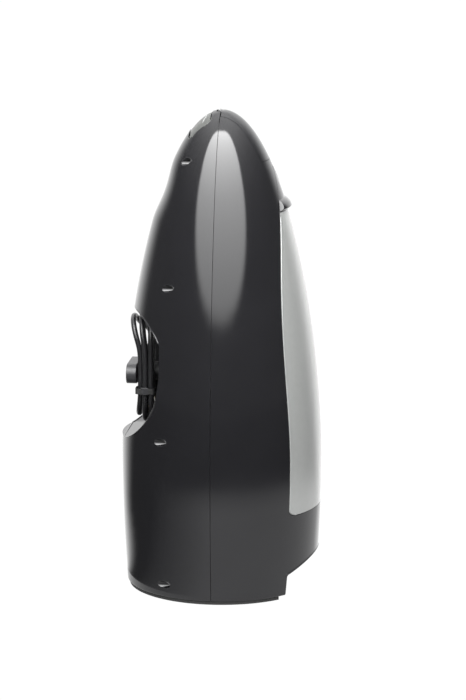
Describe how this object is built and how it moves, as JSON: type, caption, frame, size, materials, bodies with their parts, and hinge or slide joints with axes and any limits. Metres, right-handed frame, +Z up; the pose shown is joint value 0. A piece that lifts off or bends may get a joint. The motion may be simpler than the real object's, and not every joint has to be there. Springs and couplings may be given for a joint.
{
  "type": "centrifugal juicer",
  "caption": "Tower-shaped centrifugal juicer with a pull-out juicing drawer, a hinged feed lid and a cord bay at the back.",
  "frame": {"origin": "centre of the foot ring on the table", "axes": "+X towards the silver front, +Z up"},
  "size_m": [0.1728, 0.1728, 0.4139],
  "materials": {
    "gloss_black": "high gloss, injection moulded",
    "satin_silver": "satin metallic paint",
    "smoke_grey": "satin, slightly translucent",
    "dark_plastic": "fine texture",
    "black_rubber": "matte",
    "cord_pvc": "satin PVC sheath",
    "zinc_steel": "zinc plated",
    "stainless": "brushed",
    "lamination_steel": "lacquered laminations",
    "copper_wire": "enamelled copper",
    "brass": "polished",
    "carbon": "pressed carbon",
    "clear_plastic": "clear polycarbonate",
    "circuit_board": "solder mask",
    "yellow_film": "moulded film capacitor case",
    "natural_nylon": "nylon",
    "red_wire": "PVC insulation"
  },
  "bodies": {
    "housing": {"rear_housing": "gloss_black", "front_housing": "gloss_black", "base_plate": "dark_plastic", "foot_ring": "black_rubber", "housing_screws": "zinc_steel", "base_screws": "zinc_steel", "inner_bulkhead": "dark_plastic", "motor_tray": "dark_plastic", "motor_mounts": "black_rubber", "lower_bracket": "zinc_steel", "upper_bracket": "zinc_steel", "stator_core": "lamination_steel", "field_coils": "copper_wire", "brush_holders": "natural_nylon", "carbon_brushes": "carbon", "lower_bearing": "zinc_steel", "upper_bearing": "zinc_steel", "control_board": "circuit_board", "capacitor": "yellow_film", "wiring": "red_wire", "switch_body": "dark_plastic", "rocker_pin": "zinc_steel", "interlock_switch": "dark_plastic", "feed_chute": "clear_plastic", "lid_hinge_pin": "zinc_steel", "cord_hook": "dark_plastic", "strain_relief": "cord_pvc", "cord_lead": "cord_pvc", "cord_hank": "cord_pvc", "cord_tie": "black_rubber", "plug_lead": "cord_pvc", "plug_body": "cord_pvc", "plug_pins": "brass"},
    "lid": {"feed_lid": "gloss_black"},
    "food_pusher": {"pusher": "clear_plastic"},
    "rocker": {"power_rocker": "smoke_grey"},
    "plunger": {"interlock_plunger": "natural_nylon"},
    "drawer": {"front_panel": "satin_silver", "front_handle": "gloss_black", "cassette_frame": "dark_plastic", "juice_jug": "clear_plastic", "juice_bowl": "clear_plastic", "bowl_seal": "black_rubber", "bowl_cover": "clear_plastic"},
    "basket": {"filter_basket": "stainless", "grating_disc": "stainless", "basket_hub": "dark_plastic"},
    "rotor": {"motor_shaft": "zinc_steel", "armature_core": "copper_wire", "commutator": "copper_wire", "cooling_fan": "dark_plastic", "drive_coupling": "dark_plastic"}
  },
  "joints": [
    {"name": "drawer_slide", "type": "slide", "parent": "housing", "child": "drawer", "axis": [1, 0, 0], "range_m": [0, 0.15]},
    {"name": "lid_hinge", "type": "hinge", "parent": "housing", "child": "lid", "pos_m": [-0.0016, 0, 0.412], "axis": [0, -1, 0], "range_deg": [0, 95]},
    {"name": "pusher_slide", "type": "slide", "parent": "housing", "child": "food_pusher", "axis": [0, 0, 1], "range_m": [0, 0.05]},
    {"name": "power_switch", "type": "hinge", "parent": "housing", "child": "rocker", "pos_m": [-0.0172, 0, 0.397], "axis": [0, 1, 0], "range_deg": [-4, 4]},
    {"name": "interlock_press", "type": "slide", "parent": "housing", "child": "plunger", "axis": [1, 0, 0], "range_m": [0, 0.0025]},
    {"name": "motor_spin", "type": "hinge", "parent": "housing", "child": "rotor", "pos_m": [-0.004, 0, 0.14], "axis": [0, 0, 1], "continuous": true},
    {"name": "basket_spin", "type": "hinge", "parent": "drawer", "child": "basket", "pos_m": [-0.004, 0, 0.24], "axis": [0, 0, 1], "continuous": true}
  ],
  "couplings": [
    {"joint": "interlock_press", "follows": "drawer_slide", "ratio": 0.016667},
    {"joint": "basket_spin", "follows": "motor_spin", "ratio": 1}
  ]
}
